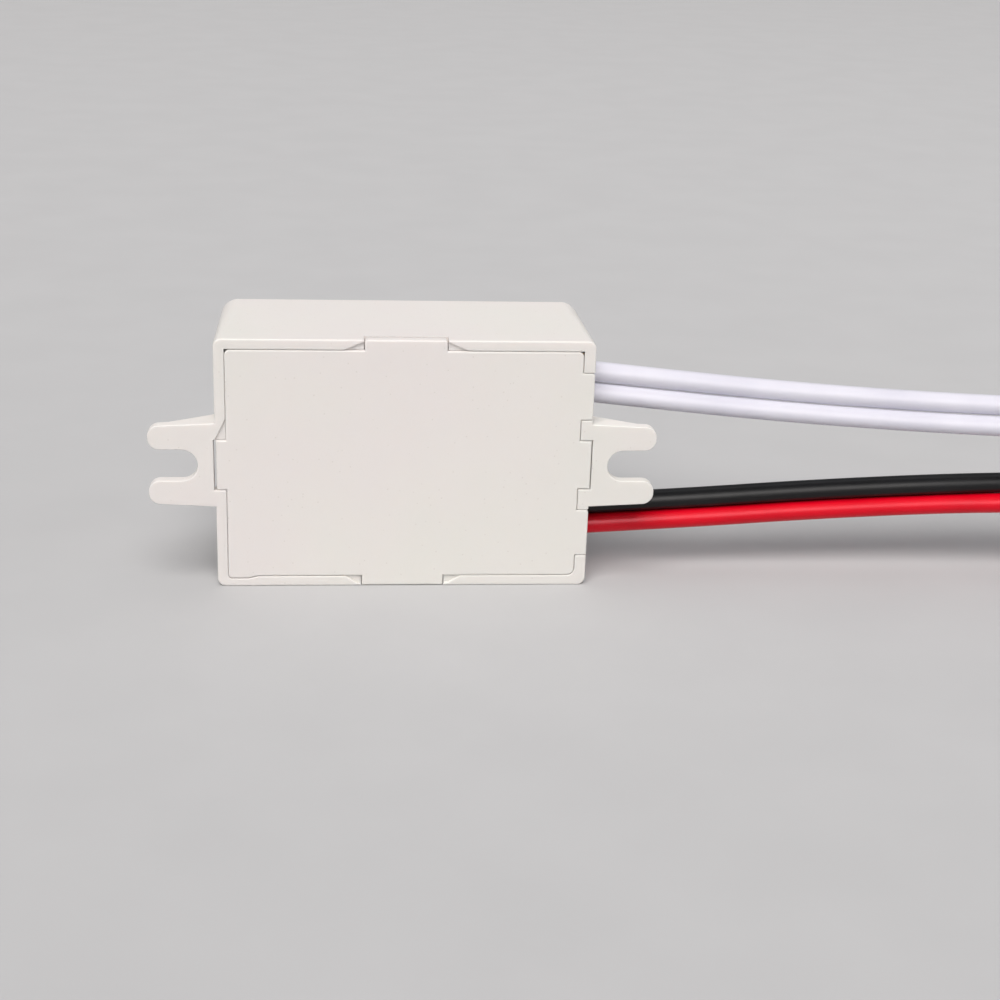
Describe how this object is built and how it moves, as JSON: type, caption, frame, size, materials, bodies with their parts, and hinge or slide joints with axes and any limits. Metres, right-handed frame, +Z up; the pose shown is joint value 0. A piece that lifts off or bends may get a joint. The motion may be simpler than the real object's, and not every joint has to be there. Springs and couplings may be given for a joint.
{
  "type": "sound and light sensor switch",
  "caption": "Small plastic box with two open-slotted mounting ears and a snap-in bottom cover; board, microphone, light sensor and relay inside; paired insulated leads leave one end.",
  "frame": {"origin": "middle of the long side wall that the box stands on, leads left out", "axes": "+X along the box towards the end where the leads leave, +Y from the bottom cover to the roof with the sensors, +Z up from the side wall it stands on"},
  "size_m": [0.1772, 0.027, 0.032],
  "materials": {
    "case_plastic": "fine moulded texture, warm white",
    "white_insulation": "satin gloss, cool white",
    "red_insulation": "satin gloss, red",
    "black_insulation": "satin gloss, black",
    "tinned_copper": "tinned, bright",
    "solder": "bright solder",
    "board_laminate": "green solder mask on glass laminate",
    "mic_aluminium": "satin drawn can",
    "felt": "black felt",
    "light_cell": "clear coat over a pale ceramic with a serpentine track",
    "clear_sleeve": "translucent sleeve",
    "film_box": "moulded box, yellow",
    "can_aluminium": "bright can",
    "capacitor_sleeve": "shrunk sleeve, black",
    "bung_rubber": "matt rubber",
    "timing_sleeve": "shrunk sleeve, dark blue",
    "black_epoxy": "moulded epoxy, black",
    "zener_glass": "orange tinted glass",
    "resistor_lacquer": "lacquer, pale blue",
    "fuse_lacquer": "cement coat, grey green",
    "disc_lacquer": "dipped lacquer, ochre",
    "relay_cover": "moulded, blue",
    "relay_moulding": "moulded, black",
    "bobbin_plastic": "moulded, natural",
    "coil_copper": "enamelled copper winding",
    "soft_iron": "zinc plated",
    "spring_bronze": "rolled spring bronze",
    "contact_silver": "silver alloy"
  },
  "bodies": {
    "case": {"black_end": "tinned_copper", "black_lead": "black_insulation", "case_shell": "case_plastic", "ceramic_capacitor_legs": "tinned_copper", "ceramic_capacitors": "disc_lacquer", "circuit_board": "board_laminate", "control_chip": "black_epoxy", "control_chip_legs": "tinned_copper", "film_capacitor": "film_box", "film_capacitor_legs": "tinned_copper", "filter_capacitor_bung": "bung_rubber", "filter_capacitor_can": "can_aluminium", "filter_capacitor_legs": "tinned_copper", "filter_capacitor_sleeve": "capacitor_sleeve", "fusible_resistor": "fuse_lacquer", "fusible_resistor_wires": "tinned_copper", "lead_tails": "tinned_copper", "light_sensor": "light_cell", "light_sensor_legs": "tinned_copper", "light_sensor_sleeves": "clear_sleeve", "microphone_can": "mic_aluminium", "microphone_felt": "felt", "microphone_legs": "tinned_copper", "rectifier_diode_wires": "tinned_copper", "rectifier_diodes": "black_epoxy", "red_end": "tinned_copper", "red_lead": "red_insulation", "relay_base": "relay_moulding", "relay_bobbin": "bobbin_plastic", "relay_case": "relay_cover", "relay_coil": "coil_copper", "relay_core": "soft_iron", "relay_fixed_blade": "spring_bronze", "relay_fixed_contact": "contact_silver", "relay_hinge_spring": "spring_bronze", "relay_pins": "tinned_copper", "relay_yoke": "soft_iron", "resistor_wires": "tinned_copper", "resistors": "resistor_lacquer", "solder_joints": "solder", "timing_capacitor": "timing_sleeve", "timing_capacitor_legs": "tinned_copper", "transistor_legs": "tinned_copper", "transistors": "black_epoxy", "white_end_lower": "tinned_copper", "white_end_upper": "tinned_copper", "white_lead_lower": "white_insulation", "white_lead_upper": "white_insulation", "zener_diode": "zener_glass", "zener_diode_wires": "tinned_copper"},
    "cover": {"bottom_cover": "case_plastic"},
    "armature": {"relay_armature": "soft_iron", "relay_contact_leaf": "spring_bronze", "relay_moving_contact": "contact_silver"}
  },
  "joints": [
    {"name": "cover_pull", "type": "slide", "parent": "case", "child": "cover", "axis": [0, -1, 0], "range_m": [0, 0.03]},
    {"name": "armature_rock", "type": "hinge", "parent": "case", "child": "armature", "pos_m": [-0.0022, 0.00573, 0.0086], "axis": [0, 0, -1], "range_deg": [0, 2.1], "stiffness_Nm_per_rad": 0.004, "springref_deg": -2.86}
  ]
}
